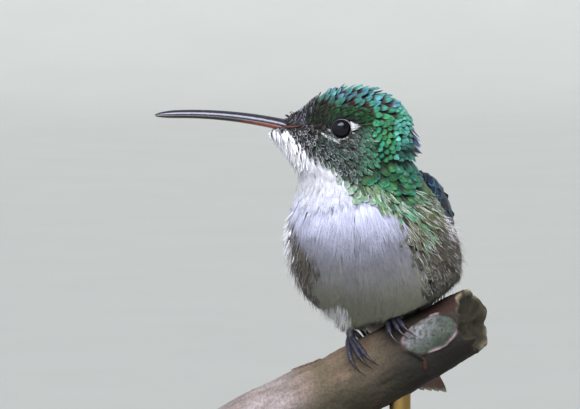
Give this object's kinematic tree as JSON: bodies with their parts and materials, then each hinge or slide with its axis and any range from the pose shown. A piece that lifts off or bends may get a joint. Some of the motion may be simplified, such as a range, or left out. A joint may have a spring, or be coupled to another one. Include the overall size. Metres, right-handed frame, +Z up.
{
  "type": "perched hummingbird model",
  "caption": "Life-size still model of a small emerald hummingbird with a white breast, perched on a cut length of broken branch on a plain round display stand.",
  "frame": {"origin": "centre of the stand base's underside", "axes": "+Z up, the breast faces -Y, the head is turned to its right so that the bill points along -X"},
  "size_m": [0.0645, 0.07, 0.0791],
  "materials": {
    "green_plumage": "iridescent green scale-like feathers with blue-green tips",
    "white_plumage": "soft white hair-like feathers, grey-brown and green on the flanks",
    "flight_feathers": "dusky blue-black vanes with blue-green edges",
    "tail_feathers": "bronze-green vanes, coppery near the end, with pale buff tips",
    "bill_black": "smooth black horn with a violet gloss",
    "bill_red": "reddish-brown horn, blacker to the point",
    "eye": "wet black-brown",
    "foot": "violet-black scaly skin and claws",
    "bark": "mottled beige and brown bark with a pale oval scar",
    "stand_wood": "dark satin-varnished hardwood",
    "stand_metal": "brushed"
  },
  "bodies": {
    "root": {"head": "green_plumage", "neck": "green_plumage", "trunk": "white_plumage", "tail": "tail_feathers", "wing_left": "flight_feathers", "wing_right": "flight_feathers", "bill_upper": "bill_black", "bill_lower": "bill_red", "eye_left": "eye", "eye_right": "eye", "leg_left": "foot", "leg_right": "foot", "perch": "bark", "stand_rod": "stand_metal", "stand_base": "stand_wood"}
  },
  "joints": []
}
